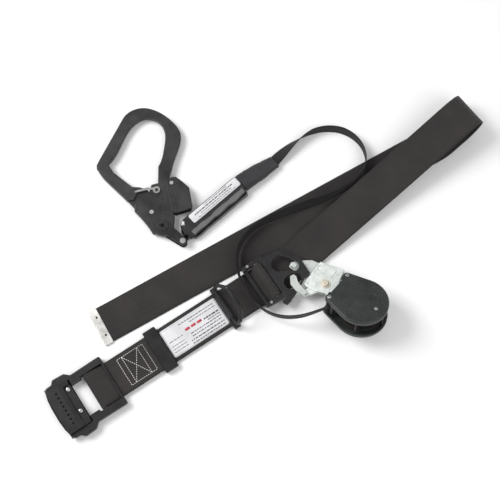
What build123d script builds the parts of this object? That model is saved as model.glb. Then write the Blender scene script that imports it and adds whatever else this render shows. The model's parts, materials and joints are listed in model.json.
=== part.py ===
from build123d import *
import math
import os

# Waist safety belt with a retractable lanyard reel, laid out on a floor.  Millimetres, +Z up.
# Each sub-assembly is drawn in a flat frame of its own and put in place by one Plane.
# The origin is the middle of the kit's footprint, on the floor.

# ---- driving dimensions -------------------------------------------------------------------------
FOOTPRINT_MIDDLE = (27.6, -18.85)     # layout point that becomes the origin

BELT_WIDTH = 50.0
BELT_THICK = 2.0
STRIP_UNDER = 2.5                    # underside of the belt where hardware lifts it
LANYARD_WIDTH = 15.0
LANYARD_THICK = 1.2

STRIP_START = (-106.4, -128.8)       # label end of the buckle strip
STRIP_TURN = 33.5
RISE_START = (57.0, -17.0)           # where the belt leaves the ring frame
RISE_TURN = 40.6
TAIL_END = (-198.3, -107.0)
TAIL_TURN = 29.8
TAIL_LENGTH = 507.0

BUCKLE_BAR_S = -106.0
BUCKLE_BAR_Z = 7.2
BUCKLE_BAR_R = 3.0
LEVER_PIN_S = -159.0
LEVER_PIN_Z = 7.4
LEVER_PIN_R = 2.0
LEVER_HALF_WIDTH = 30.5
NOSE_R = 6.9
LEVER_RECESS_Z = 11.6
LEVER_RIVETS_T = (-11.8, 19.8)
RUNNING_CLEARANCE = 0.05

DRING_S = 89.0
DRING_Z = 10.4
DRING_BAR_R = 2.5
DRING_HALF_WIDTH = 27.5
DRING_DEPTH = 27.0
DRING_LEAN = 60.0

RING_BAR_S = 153.0
RING_BAR_Z = 8.6
RING_BAR_R = 5.0
RING_PLATE_Z = (11.2, 14.2)

REEL_MIDDLE = (140.9, -85.0, 30.9)
REEL_TILT = 20.0
REEL_ARM_TURN = 141.0
REEL_RADIUS = 34.0
REEL_HALF_THICK = 17.0
EARS = ((37.0, -19.5), (35.0, 22.0))
EAR_RADIUS = 5.0
POST_R = 2.0
SHAFT_R = 4.0
SPOOL_FLANGE_R = 29.3
SPOOL_HUB_R = 8.0
ROLLER_B = (27.2, 24.3)
ROLLER_PIN_R = 1.4
WOUND_R = 17.2
EXIT_DIRECTION = (0.43, 0.903)
EXIT_OFFSET = 17.9

CONNECTOR_START = (114.5, -64.9, 19.0)
CONNECTOR_TURN = 142.7
CONNECTOR_SLOPE = 13.6
CONNECTOR_RIVET = (22.0, -1.5)
CONNECTOR_RIVET_R = 3.0
JAW_LOW = 5.6
JAW_HIGH = 9.0

EYE = (-115.3, 29.4)
HOOK_TURN = 99.0
HOOK_MIDDLE_Z = 7.2
HOOK_PLATE_THICK = 8.0
EYE_BOLT_R = 5.0
GATE_PIVOT = (22.0, 12.0)
GATE_PIN_R = 2.2
GATE_TIP_R = 91.9
GATE_TIP_GAP = 0.4
LEVER_PIVOT = (58.0, -19.5)
LEVER_RIVET_R = 1.6
LINK_PIVOT = (51.5, 1.6)
LINK_PIN_R = 1.6

ABSORBER_START = (-83.2, 21.9)
ABSORBER_TURN = 41.9
ABSORBER_LENGTH = 98.0
SHACKLE_PIN = (-12.7, -6.3)
SHACKLE_PIN_R = 2.5
COVER_SECTION = [(-14.0, 0.3), (15.0, 0.3), (17.0, 4.0), (16.5, 14.5), (13.5, 17.0), (1.0, 17.2),
                 (-9.0, 14.0), (-15.5, 6.0)]

# Route of the free lanyard from the reel's exit to the absorber's sleeve, chosen by hand.
LANYARD_ROUTE = [
    (95.0, -86.2, 33.0), (79.0, -92.0, 30.0), (60.5, -95.0, 20.5), (40.0, -93.5, 13.0),
    (20.0, -86.0, 11.5), (3.0, -71.0, 13.5), (-10.0, -51.0, 15.0), (-17.5, -28.0, 14.0),
    (-17.0, -3.0, 11.5), (-6.0, 17.0, 11.0), (10.0, 32.0, 10.5), (36.0, 45.0, 10.5),
    (66.0, 57.0, 10.5), (93.0, 66.0, 11.0), (115.0, 75.0, 11.5), (136.0, 88.0, 11.5),
    (152.0, 105.0, 11.0), (158.0, 124.0, 9.5), (154.0, 143.0, 8.5), (143.0, 158.0, 8.2),
    (126.0, 168.5, 8.0), (106.0, 171.0, 8.0), (86.0, 167.0, 8.0), (66.0, 155.5, 7.2),
    (47.6, 139.4, 6.4), (32.8, 123.2, 5.8),
]
LANYARD_TUBE_R = math.sqrt(LANYARD_WIDTH * LANYARD_THICK / math.pi)


# ---- frames -------------------------------------------------------------------------------------
def spot(x, y, z=0.0):
    return Vector(x - FOOTPRINT_MIDDLE[0], y - FOOTPRINT_MIDDLE[1], z)


def flat_frame(x, y, turn, z=0.0):
    a = math.radians(turn)
    return Plane(origin=spot(x, y, z), x_dir=(math.cos(a), math.sin(a), 0), z_dir=(0, 0, 1)).location


def reel_frame():
    tilt = math.radians(REEL_TILT)
    normal = Vector(0, math.sin(tilt), math.cos(tilt))
    across = Vector(1, 0, 0)
    up = normal.cross(across)
    arm = math.radians(REEL_ARM_TURN)
    x_dir = across * math.cos(arm) + up * math.sin(arm)
    return Plane(origin=spot(*REEL_MIDDLE), x_dir=x_dir, z_dir=normal).location


def connector_frame():
    turn = math.radians(CONNECTOR_TURN)
    slope = math.radians(CONNECTOR_SLOPE)
    x_dir = (math.cos(turn) * math.cos(slope), math.sin(turn) * math.cos(slope), -math.sin(slope))
    z_dir = (math.cos(turn) * math.sin(slope), math.sin(turn) * math.sin(slope), math.cos(slope))
    return Plane(origin=spot(*CONNECTOR_START), x_dir=x_dir, z_dir=z_dir).location


def pin_spot():
    turn = math.radians(ABSORBER_TURN)
    x = ABSORBER_START[0] + SHACKLE_PIN[0] * math.cos(turn) - SHACKLE_PIN[1] * math.sin(turn)
    y = ABSORBER_START[1] + SHACKLE_PIN[0] * math.sin(turn) + SHACKLE_PIN[1] * math.cos(turn)
    return x, y


def shackle_frame():
    px, py = pin_spot()
    return flat_frame(px, py, math.degrees(math.atan2(EYE[1] - py, EYE[0] - px)))


STRIP = flat_frame(*STRIP_START, STRIP_TURN)
RISE = flat_frame(*RISE_START, RISE_TURN)
TAIL = flat_frame(*TAIL_END, TAIL_TURN)
HOOK = flat_frame(*EYE, HOOK_TURN)
ABSORBER = flat_frame(*ABSORBER_START, ABSORBER_TURN)
REEL = reel_frame()
CONNECTOR = connector_frame()
LEVEL = flat_frame(CONNECTOR_START[0], CONNECTOR_START[1], CONNECTOR_TURN)
SHACKLE = shackle_frame()


# ---- shape helpers ------------------------------------------------------------------------------
def block(x0, x1, y0, y1, z0, z1, edge=0.0):
    solid = Pos((x0 + x1) / 2, (y0 + y1) / 2, (z0 + z1) / 2) * Box(x1 - x0, y1 - y0, z1 - z0)
    return fillet(solid.edges(), edge) if edge else solid


def disc(x, y, r, z0, z1):
    return Pos(x, y, (z0 + z1) / 2) * Cylinder(r, z1 - z0)


def tube(x, y, r_out, r_in, z0, z1):
    return disc(x, y, r_out, z0, z1) - disc(x, y, r_in, z0 - 1, z1 + 1)


def rod_y(x, z, r, y0, y1):
    return Pos(x, (y0 + y1) / 2, z) * Rot(90, 0, 0) * Cylinder(r, y1 - y0)


def plate(outline, z0, z1, corner=0.0, edge=0.0):
    face = make_face(Polyline(*outline, close=True))
    if corner:
        face = fillet(face.vertices(), corner)
    solid = Pos(0, 0, z0) * extrude(face, z1 - z0)
    return soften(solid, edge) if edge else solid


def soften(solid, edge):
    levels = solid.edges().group_by(Axis.Z)
    return fillet(levels[0] + levels[-1], edge)


def hull_face(circles):
    edges = [e for x, y, r in circles for e in (Pos(x, y) * Circle(r)).edges()]
    return make_hull(edges)


def hull_plate(circles, z0, z1):
    return Pos(0, 0, z0) * extrude(hull_face(circles), z1 - z0)


def band(path, thick, half_width):
    """A flat band seen from its side: path is (along, height) points of its middle line."""
    left = []
    right = []
    for i, (x, z) in enumerate(path):
        before = path[max(i - 1, 0)]
        after = path[min(i + 1, len(path) - 1)]
        run = math.hypot(after[0] - before[0], after[1] - before[1])
        nx = -(after[1] - before[1]) / run * thick / 2
        nz = (after[0] - before[0]) / run * thick / 2
        left.append((x + nx, 0, z + nz))
        right.append((x - nx, 0, z - nz))
    face = make_face(Polyline(*left, *reversed(right), close=True))
    return Pos(0, half_width, 0) * extrude(face, 2 * half_width, dir=(0, -1, 0))


def round_bar(points, bend, r, closed=False):
    path = FilletPolyline(*points, radius=bend, close=closed)
    section = Plane(origin=path @ 0, z_dir=path % 0) * Circle(r)
    return sweep(section, path=path)


def polar(x, y, r, degrees):
    a = math.radians(degrees)
    return x + r * math.cos(a), y + r * math.sin(a)


# ---- belt ---------------------------------------------------------------------------------------
def strip_band():
    low = STRIP_UNDER + BELT_THICK / 2
    high = low + BELT_THICK
    wrap_r = BUCKLE_BAR_R + 0.1 + BELT_THICK / 2
    wrap = [(BUCKLE_BAR_S + wrap_r * math.cos(math.radians(a)),
             BUCKLE_BAR_Z + wrap_r * math.sin(math.radians(a)))
            for a in range(262, 75, -20)]
    buckle_end = [(-84.0, low), (-96.0, low - 0.2)] + wrap + [(-92.0, 8.8), (-76.0, high)]
    arch_r = RING_BAR_R + 0.2 + BELT_THICK / 2
    arch = [(RING_BAR_S + arch_r * math.cos(math.radians(a)),
             RING_BAR_Z + arch_r * math.sin(math.radians(a)))
            for a in range(165, 10, -15)]
    run = [(-84.0, low), (20.0, low), (110.0, low), (139.0, 3.2), (144.0, 4.2)]
    beyond = [(162.5, 4.6), (168.0, 1.8), (176.0, 1.3), (196.0, 1.3), (212.0, 1.8)]
    half = BELT_WIDTH / 2
    single = band(run + arch + beyond, BELT_THICK, half)
    fold_back = band(buckle_end + [(-40.0, high), (-3.0, high)], BELT_THICK, half)
    return single + fold_back


def rise_band():
    path = [(-8.0, 1.5), (10.0, 2.2), (30.0, 4.2), (70.0, 8.5), (120.0, 14.0), (180.0, 21.0), (240.0, 30.0),
            (280.0, 37.5), (300.0, 40.0), (311.0, 37.0), (317.0, 29.0), (318.0, 20.0), (312.0, 10.0),
            (300.0, 4.0), (282.0, 1.6), (262.0, 1.0), (228.0, 1.0)]
    return band(path, BELT_THICK, BELT_WIDTH / 2)


def belt_strip():
    return STRIP * strip_band()


def belt_tail():
    """Free end, flat on the floor, with a tongue inside the metal tip."""
    tail = block(12.0, TAIL_LENGTH, -BELT_WIDTH / 2, BELT_WIDTH / 2, 0.0, BELT_THICK)
    tongue = block(2.5, 12.5, -24.5, 24.5, 0.7, 2.0)
    return TAIL * (tail + tongue)


def belt_rise():
    """Middle run, which climbs over the tail to the fold and meets the other two runs."""
    return RISE * rise_band() - belt_strip() - belt_tail()


def tail_tip():
    cap = block(0.0, 12.0, -26.0, 26.0, 0.0, 3.2)
    cap = fillet(cap.edges().filter_by(Axis.Z), 2.0)
    cap = fillet(cap.edges().group_by(Axis.Z)[-1], 0.8)
    cap -= block(2.5, 14.0, -24.6, 24.6, 0.6, 2.1)
    return TAIL * cap


def tail_rivets():
    rivets = [disc(7.0, y, 1.4, 0.3, 3.6) for y in (-13.0, 13.0)]
    return [TAIL * r for r in rivets]


def belt_label():
    label = block(0.0, 84.0, -20.0, 20.0, 4.5, 5.0)
    return STRIP * fillet(label.edges().filter_by(Axis.Z), 2.0)


def belt_keeper():
    loop = block(-19.0, -1.0, -30.0, 30.0, 0.2, 9.0, edge=1.4)
    return STRIP * (loop - block(-22.0, 2.0, -26.0, 26.0, 2.2, 6.9))


# ---- buckle -------------------------------------------------------------------------------------
def buckle_outline():
    upper = [(-80.0, 35.2), (-123.0, 34.6), (-129.4, 40.6), (-145.3, 41.4), (-149.6, 36.6), (-157.6, 36.2),
             (-161.4, 30.0)]
    lower = [(x, -y) for x, y in reversed(upper)]
    return upper + lower


def buckle_frame():
    """One moulding: two arms, a far bar that the folded belt passes under, and cheeks for the lever."""
    floor, top = 0.2, 11.6
    inner = LEVER_HALF_WIDTH + 0.4
    frame = plate(buckle_outline(), floor, top, corner=2.0, edge=1.4)
    frame -= block(-114.0, -70.0, -26.0, 26.0, -1.0, 14.0)
    frame -= block(-128.5, -113.5, -23.0, 23.0, -1.0, 14.0)
    frame -= block(-170.0, -127.0, -inner, inner, 3.0, 14.0)
    frame -= block(-170.0, -151.2, -inner, inner, -1.0, 14.0)
    frame -= rod_y(BUCKLE_BAR_S, BUCKLE_BAR_Z, BUCKLE_BAR_R, -31.0, 31.0)
    frame -= rod_y(LEVER_PIN_S, LEVER_PIN_Z, LEVER_PIN_R, -35.5, 35.5)
    return STRIP * (frame + block(-83.0, -80.2, -27.0, 27.0, 8.9, 11.3, edge=0.6))


def buckle_bar():
    return STRIP * rod_y(BUCKLE_BAR_S, BUCKLE_BAR_Z, BUCKLE_BAR_R, -31.0, 31.0)


def lever_pin():
    return STRIP * rod_y(LEVER_PIN_S, LEVER_PIN_Z, LEVER_PIN_R, -35.5, 35.5)


def lever_plan():
    """Plan of the lever: straight sides and a gently bowed nose."""
    half = LEVER_HALF_WIDTH
    nose = [(-160.2, half), (-162.4, 22.0), (-163.6, 9.0), (-163.6, -9.0), (-162.4, -22.0), (-160.2, -half)]
    return plate([(-129.5, half)] + nose + [(-129.5, -half)], 0.0, 20.0)


def buckle_lever():
    """Press plate with a rivet recess, a grip ridge, a row of notches and a round nose about its pin."""
    half = LEVER_HALF_WIDTH
    side = [(-129.5, 0, 9.0), (-129.5, 0, 13.2), (-139.5, 0, 14.6), (-144.0, 0, 15.0),
            (LEVER_PIN_S, 0, LEVER_PIN_Z + NOSE_R), (LEVER_PIN_S, 0, LEVER_PIN_Z), (-151.0, 0, 8.6)]
    face = make_face(Polyline(*side, close=True))
    lever = Pos(0, half, 0) * extrude(face, 2 * half, dir=(0, -1, 0))
    nose = rod_y(LEVER_PIN_S, LEVER_PIN_Z, NOSE_R, -half, half)
    lever += fillet(nose.edges().filter_by(GeomType.CIRCLE), 1.5)
    lever = lever & lever_plan()
    lever -= hull_plate([(-135.5, 22.4, 3.0), (-135.5, -22.4, 3.0), (-120.0, 22.4, 3.0),
                         (-120.0, -22.4, 3.0)],
                        LEVER_RECESS_Z, 20.0)
    for i in range(8):
        lever -= disc(-149.2, 22.2 - 6.1 * i, 1.7, 12.6, 18.0)
    lever -= rod_y(LEVER_PIN_S, LEVER_PIN_Z, LEVER_PIN_R + RUNNING_CLEARANCE, -40.0, 40.0)
    lever -= rod_y(LEVER_PIN_S, LEVER_PIN_Z, 3.6, -2.4, 2.4)
    for y in LEVER_RIVETS_T:
        lever -= disc(-134.0, y, 1.8, 0.0, 20.0)
    return STRIP * lever


def lever_rivets():
    rivets = []
    for y in LEVER_RIVETS_T:
        head = disc(-134.0, y, 3.1, LEVER_RECESS_Z - 0.1, LEVER_RECESS_Z + 1.9)
        head = fillet(head.edges().group_by(Axis.Z)[-1], 1.6)
        rivets.append(disc(-134.0, y, 1.8, 8.2, LEVER_RECESS_Z) + head)
    return [STRIP * r for r in rivets]


def pinch_bar():
    """Serrated strip under the lever that bites on the free end of the belt."""
    first, pitch, count = -149.0, 2.0, 5
    teeth = [(first, 0, 8.7), (first, 0, 6.0)]
    for i in range(count):
        teeth.append((first + (i + 0.5) * pitch, 0, 5.0))
        teeth.append((first + (i + 1) * pitch, 0, 6.0))
    teeth.append((first + count * pitch, 0, 8.7))
    face = make_face(Polyline(*teeth, close=True))
    return STRIP * (Pos(0, 24.0, 0) * extrude(face, 48.0, dir=(0, -1, 0)))


def lever_spring():
    coils = [Pos(0, y, 0) * tube_about_y(LEVER_PIN_S, LEVER_PIN_Z, 3.2, 2.3, 0.8) for y in (-1.1, 0.0, 1.1)]
    return [STRIP * c for c in coils]


def tube_about_y(x, z, r_out, r_in, width):
    return rod_y(x, z, r_out, -width / 2, width / 2) - rod_y(x, z, r_in, -width, width)


# ---- D-ring and ring frame ----------------------------------------------------------------------
def dring_plate():
    loop = block(DRING_S - 4.5, DRING_S + 4.5, -31.0, 31.0, 0.2, 6.8, edge=0.9)
    loop -= block(DRING_S - 6, DRING_S + 6, -25.8, 25.8, 2.1, 5.3)
    knuckle = rod_y(DRING_S, DRING_Z, 4.0, -17.0, 17.0) + block(DRING_S - 3.5, DRING_S + 3.5, -17.0,
                                                                17.0, 6.0, 10.0)
    knuckle -= rod_y(DRING_S, DRING_Z, DRING_BAR_R + RUNNING_CLEARANCE, -20.0, 20.0)
    return STRIP * (loop + knuckle)


def d_ring():
    w = DRING_HALF_WIDTH
    depth = DRING_DEPTH
    points = [(0, w), (depth * 0.45, w), (depth, w * 0.55), (depth, -w * 0.55), (depth * 0.45, -w), (0, -w)]
    ring = round_bar([(x, y, 0) for x, y in points], 4.0, DRING_BAR_R, closed=True)
    return STRIP * Pos(DRING_S, 0, DRING_Z) * Rot(0, -DRING_LEAN, 0) * ring


def ring_frame():
    low, high = RING_PLATE_Z
    outline = [(153.5, -35.5), (157.0, -43.0), (163.0, -41.5), (184.0, -33.0), (195.0, -26.0),
               (206.0, -24.0),
               (206.5, 2.0), (202.0, 13.0), (195.0, 20.5), (186.0, 25.5), (170.0, 28.5), (160.5, 29.0),
               (160.5, -33.5)]
    top = plate(outline, low, high, corner=1.6, edge=1.1)
    for hole in ([(179.0, 9.0, 11.0), (193.5, -4.0, 7.0)], [(177.5, -20.0, 9.0), (185.0, -19.0, 8.5)]):
        top -= hull_plate(hole, low - 2, high + 2)
    rails = plate([(134.0, 31.0), (134.0, 26.0), (164.0, 26.0), (164.0, 31.0)], 5.2, high - 0.4, corner=1.5)
    rails += plate([(134.0, -31.0), (134.0, -26.0), (164.0, -26.0),
                    (164.0, -33.0)], 5.2, high - 0.4, corner=1.5)
    left_bar = block(134.0, 139.5, -29.0, 29.0, 5.2, 9.4, edge=0.9)
    frame = top + rails + left_bar
    frame -= rod_y(RING_BAR_S, RING_BAR_Z, RING_BAR_R - 1.5, -30.0, 30.0)
    return STRIP * frame


def ring_bar():
    """Bar that the belt turns over, with turned-down ends in the frame's rails."""
    bar = rod_y(RING_BAR_S, RING_BAR_Z, RING_BAR_R, -25.8, 25.8)
    return STRIP * (bar + rod_y(RING_BAR_S, RING_BAR_Z, RING_BAR_R - 1.5, -30.0, 30.0))


def ring_rivets():
    rivets = [disc(142.0, y, 1.8, 12.0, 14.8) for y in (28.5, -28.5)]
    return [STRIP * r for r in rivets]


# ---- reel ---------------------------------------------------------------------------------------
def reel_outline(grow=0.0):
    return [(0, 0, REEL_RADIUS + grow)] + [(x, y, EAR_RADIUS + grow) for x, y in EARS]


def reel_top_cover():
    top = REEL_HALF_THICK
    cover = hull_plate(reel_outline(), 11.2, top)
    cover = fillet(cover.edges().group_by(Axis.Z)[-1], 2.2)
    cover -= hull_plate(reel_outline(-2.0), 10.0, 15.0)
    cover -= block(37.8, 50.0, -12.5, 15.0, 5.0, 20.0)
    for r in (13.0, 19.0, 25.0, 30.0):
        cover -= tube(0, 0, r + 0.5, r - 0.5, top - 0.35, top + 1)
    for x, y in EARS:
        cover -= disc(x, y, POST_R, 5.0, 20.0)
    cover -= disc(0, 0, SHAFT_R, 5.0, 16.0)
    return REEL * (cover - disc(-20.6, 0.2, 1.5, 5.0, 20.0))


def reel_bottom_cover():
    low = -REEL_HALF_THICK
    cover = hull_plate(reel_outline(1.0), low, -11.5)
    cover = fillet(cover.edges().group_by(Axis.Z)[0], 2.0)
    cover -= hull_plate(reel_outline(-1.5), low + 2.6, 0.0)
    for x, y in EARS:
        cover -= disc(x, y, POST_R, low - 1, 0.0)
    return REEL * (cover - disc(0, 0, SHAFT_R, low + 1.2, 0.0))


def ear_rivets():
    rivets = []
    for x, y in EARS:
        stem = disc(x, y, POST_R, -REEL_HALF_THICK - 0.2, REEL_HALF_THICK + 0.2)
        head = disc(x, y, 2.7, REEL_HALF_THICK, REEL_HALF_THICK + 1.3)
        head = fillet(head.edges().group_by(Axis.Z)[-1], 0.9)
        rivets.append(stem + head)
    return [REEL * r for r in rivets]


def spacer_posts():
    places = [polar(0, 0, 31.0, a) for a in (185.0, 262.0, 112.0)]
    return [REEL * disc(x, y, 1.3, -14.4, 11.2) for x, y in places]


def cover_screw():
    screw = disc(-20.6, 0.2, 1.5, 14.6, 17.4) + disc(-20.6, 0.2, 2.3, REEL_HALF_THICK,
                                                     REEL_HALF_THICK + 1.2)
    screw -= block(-23.6, -17.6, -0.3, 0.7, REEL_HALF_THICK + 0.6, REEL_HALF_THICK + 2)
    return REEL * screw


def reel_shaft():
    return REEL * disc(0, 0, SHAFT_R, -15.8, 16.0)


def spool():
    drum = disc(0, 0, SPOOL_HUB_R, -7.0, 11.0)
    drum += disc(0, 0, SPOOL_FLANGE_R, -7.0, -5.8)
    drum += disc(0, 0, SPOOL_FLANGE_R, 9.8, 11.0)
    drum += disc(0, 0, 7.0, -12.5, -7.0)
    drum -= disc(0, 0, 5.5, -20.0, 20.0)
    for a in (0, 180):
        drum -= disc(*polar(0, 0, 19.0, a), 1.5, 9.0, 12.0)
    return REEL * drum


def spool_bush():
    return REEL * tube(0, 0, 5.5, SHAFT_R + RUNNING_CLEARANCE, -12.5, 11.0)


def wound_webbing():
    return REEL * tube(0, 0, WOUND_R, SPOOL_HUB_R, -5.6, 9.6)


def webbing_lead():
    """Last stretch of webbing inside the case, from the roll to the exit between the rollers."""
    turn = math.degrees(math.atan2(EXIT_DIRECTION[1], EXIT_DIRECTION[0]))
    along = block(6.0, 40.5, -EXIT_OFFSET - LANYARD_THICK / 2, -EXIT_OFFSET + LANYARD_THICK / 2, -5.4, 9.4)
    return REEL * Rot(0, 0, turn) * along


def power_spring():
    turns = 8
    steps = 24
    outer = []
    inner = []
    for i in range(turns * steps + 1):
        a = 360.0 * i / steps
        r = 8.2 + 13.6 * i / (turns * steps)
        outer.append(polar(0, 0, r + 0.35, a))
        inner.append(polar(0, 0, r - 0.35, a))
    face = make_face(Polyline(*outer, *reversed(inner), close=True))
    return REEL * Pos(0, 0, -13.6) * extrude(face, 5.0)


def spring_cup():
    return REEL * tube(0, 0, 24.0, 22.6, -14.4, -7.6)


def ratchet_ring():
    teeth = 10
    outline = []
    for i in range(teeth):
        a = 360.0 * i / teeth
        outline.append(polar(0, 0, 28.2, a))
        outline.append(polar(0, 0, 28.2, a + 6))
        outline.append(polar(0, 0, 25.6, a + 33))
        outline.append(polar(0, 0, 25.6, a + 35.5))
    ring = disc(0, 0, 31.9, 11.6, 15.0) - plate(outline, 10.0, 16.0)
    for x, y in EARS:
        ring -= disc(x, y, POST_R + 0.3, 5.0, 20.0)
    return REEL * ring


def pawl(turn):
    outline = [(19.0 + 3.0, -3.0), (19.0 + 3.6, 4.0), (23.6, 9.0), (20.2, 10.0), (15.8, 3.0), (16.0, -3.0)]
    body = plate(outline, 11.4, 13.8, corner=0.8)
    body -= disc(19.0, 0, 1.5 + RUNNING_CLEARANCE, 10.0, 15.0)
    return REEL * Rot(0, 0, turn) * body


def pawl_pins():
    return [REEL * disc(*polar(0, 0, 19.0, a), 1.5, 9.8, 14.2) for a in (0, 180)]


def pawl_springs():
    springs = [Rot(0, 0, a) * (block(10.0, 15.2, -1.6, -1.1, 11.3, 12.8) + disc(10.0, -1.3, 1.0, 11.0,
                                                                                13.0))
               for a in (0, 180)]
    return [REEL * s for s in springs]


def roller(x, y, r, bore):
    return REEL * tube(x, y, r, bore + RUNNING_CLEARANCE, -9.0, 10.5)


def roller_pin():
    return REEL * disc(*ROLLER_B, ROLLER_PIN_R, -14.4, 11.2)


# ---- snap connector -----------------------------------------------------------------------------
def connector_outline(z0, z1):
    points = [(-3.0, -11.0), (8.0, -12.0), (10.5, -18.5), (13.0, -31.0), (25.0, -28.0), (41.0, -24.0),
              (46.5, -21.5), (46.5, 13.0), (41.0, 15.8), (28.0, 14.5), (14.0, 9.5), (3.0, 10.0),
              (-3.0, 10.0)]
    return plate(points, z0, z1, corner=1.2)


def connector_body():
    """Two pressed side plates and the fixed jaw that passes under the ring frame's corner."""
    upper = soften(connector_outline(1.4, 3.4), 0.5)
    lower = connector_outline(-3.4, -1.6)
    web = block(28.0, 46.0, -23.5, -16.0, -2.0, 2.0)
    slot = hull_plate([(31.0, -8.6, 1.3), (42.5, -6.8, 1.3)], 2.4, 5.0)
    body = upper + lower + web - slot
    body -= Pos(42.8, -14.8, 4.6) * Sphere(2.6)
    body -= disc(*CONNECTOR_RIVET, CONNECTOR_RIVET_R, -5.0, 5.0)
    body -= plate([(20.4, -24.5), (21.4, -24.5), (20.6, -14.0), (19.6, -14.0)], 2.6, 5.0)
    for x, y in EARS:
        body -= CONNECTOR.inverse() * REEL * disc(x, y, POST_R + 2.2, -20.0, 20.0)
    return CONNECTOR * body


def jaw():
    """Fixed jaw, level, under the ring frame, with its tip turned up through the opening."""
    flat = plate([(42.0, -22.0), (56.0, -18.5), (70.0, -7.0), (76.0, 0.5), (74.5, 7.0), (66.0, 7.0),
                  (58.0, 0.0),
                  (42.0, -1.0)], JAW_LOW, JAW_HIGH, corner=1.5, edge=0.6)
    tip = plate([(67.0, -0.6), (73.6, -0.6), (73.6, 6.0),
                 (67.0, 6.0)], JAW_LOW + 1.0, 15.6, corner=1.5, edge=1.0)
    return LEVEL * (flat + tip)


def connector_rivet():
    x, y = CONNECTOR_RIVET
    washer = disc(x, y, 6.2, 3.4, 4.4)
    head = disc(x, y, 4.5, 4.3, 6.0)
    head = fillet(head.edges().group_by(Axis.Z)[-1], 1.0)
    stem = disc(x, y, CONNECTOR_RIVET_R, -4.4, 4.4)
    return CONNECTOR * (stem + washer + head + disc(x, y, 4.5, -4.6, -3.4))


def snap_gate():
    """Lower jaw: an arm between the side plates, a riser outside the ring and a claw over its edge."""
    x, y = CONNECTOR_RIVET
    arm = hull_plate([(x, y, 6.5), (35.5, 20.5, 4.5)], -1.4, 1.2)
    arm += hull_plate([(35.5, 20.5, 4.0), (38.5, 24.5, 4.0)], -1.4, 1.2)
    arm -= disc(x, y, CONNECTOR_RIVET_R + RUNNING_CLEARANCE, -5.0, 5.0)
    riser = plate([(34.0, 22.5), (41.5, 22.5), (43.0, 28.5), (36.0, 28.5)], 8.6, 18.2, corner=1.2)
    claw = plate([(35.0, 22.6), (44.0, 20.5), (52.0, 18.5), (58.5, 13.5), (62.5, 14.0), (64.5, 18.5),
                  (58.0, 26.5),
                  (47.0, 29.5), (36.5, 28.4)], 15.0, 18.2, corner=1.6)
    return CONNECTOR * arm + LEVEL * (riser + claw)


def gate_spring():
    x, y = CONNECTOR_RIVET
    return CONNECTOR * tube(x, y, 6.6, 5.9, -4.9, -3.5)


# ---- hook ---------------------------------------------------------------------------------------
def hook_outline():
    back = Spline((80, -23), (112, -37.5), (128, -41), (146, -33), (164, -16), (173.5, 6), (171, 22),
                  (163, 33))
    nose = Polyline((163, 33), (108, 71.5), (99.5, 77), (94, 77.3), (88, 72.5), (97, 60), (99, 62.5))
    bow = Spline((99, 62.5), (127, 39.5), (154, 16), (157.5, 4), (154, -8), (146, -16), (133, -20),
                 (110, -16),
                 (92, -9.5), (85, -5))
    shank = Polyline((85, -5), (61.5, -1.5), (60.5, 7.5), (50.5, 12), (48.5, 19), (44, 27), (36, 33.5),
                     (27, 34.5),
                     (17.5, 27.8), (5.5, 20.5), (-8, 14.2), (-9, -12), (10, -17), (45, -17.5),
                     (62, -14.5), (80, -23))
    return [e for line in (back, nose, bow, shank) for e in line.edges()]


def hook_body():
    low = HOOK_MIDDLE_Z - HOOK_PLATE_THICK / 2
    top = low + HOOK_PLATE_THICK
    body = Pos(0, 0, low) * extrude(make_face(hook_outline()), HOOK_PLATE_THICK)
    body += disc(0, 0, 12.6, low, top)
    body = soften(body, 1.1)
    body -= disc(0, 0, EYE_BOLT_R + RUNNING_CLEARANCE, -5, 30)
    body -= hull_plate([(*GATE_PIVOT, 13.0), (60.0, 40.0, 15.0), (50.0, 3.0, 9.0)], low + 1.8, low + 6.2)
    body -= disc(*GATE_PIVOT, GATE_TIP_R + GATE_TIP_GAP, -5, 30) & block(84, 110, 55, 90, -5, 30)
    body -= disc(*GATE_PIVOT, GATE_PIN_R, -5, 30)
    body -= disc(*LEVER_PIVOT, LEVER_RIVET_R, -5, 30)
    body -= hull_plate([(42.9, -6.7, 0.8), (15.0, 1.5, 0.8)], top - 0.6, top + 1)
    body -= hull_plate([(42.9, -6.7, 0.8), (41.0, -14.5, 0.8)], top - 0.6, top + 1)
    return HOOK * body


def hook_gate():
    """Flat gate whose tip is round about its pivot, so that it closes on the nose with a thin gap."""
    mid = HOOK_MIDDLE_Z
    inner = plate([(13.0, 14.0), (18.0, 3.5), (27.0, 3.5), (46.0, 8.0), (56.0, 15.0), (60.0, 24.0),
                   (62.0, 33.5),
                   (84.0, 53.5), (89.5, 61.0), (87.0, 71.0), (83.0, 70.0), (70.0, 62.5), (48.0, 45.0),
                   (28.0, 32.0),
                   (17.0, 22.0)], mid - 1.9, mid + 1.9, corner=1.5)
    shell = plate([(42.0, 34.0), (52.0, 27.0), (62.0, 34.5), (80.0, 53.0), (100.0, 62.0), (97.0, 77.0),
                   (92.0, 76.5),
                   (79.0, 69.5), (65.0, 59.0), (50.0, 47.5),
                   (43.0, 42.5)], mid - 4.6, mid + 4.6, corner=1.5)
    shell = soften(shell, 0.8) & disc(*GATE_PIVOT, GATE_TIP_R, -5, 30)
    return HOOK * (inner + shell - disc(*GATE_PIVOT, GATE_PIN_R + RUNNING_CLEARANCE, -5, 30))


def riveted_pin(x, y, r, low, high, head):
    stem = disc(x, y, r, low, high)
    return stem + disc(x, y, head, high, high + 1.0) + disc(x, y, head, low - 1.0, low)


def gate_pin():
    low = HOOK_MIDDLE_Z - HOOK_PLATE_THICK / 2
    return HOOK * riveted_pin(*GATE_PIVOT, GATE_PIN_R, low, low + HOOK_PLATE_THICK, 2.9)


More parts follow.
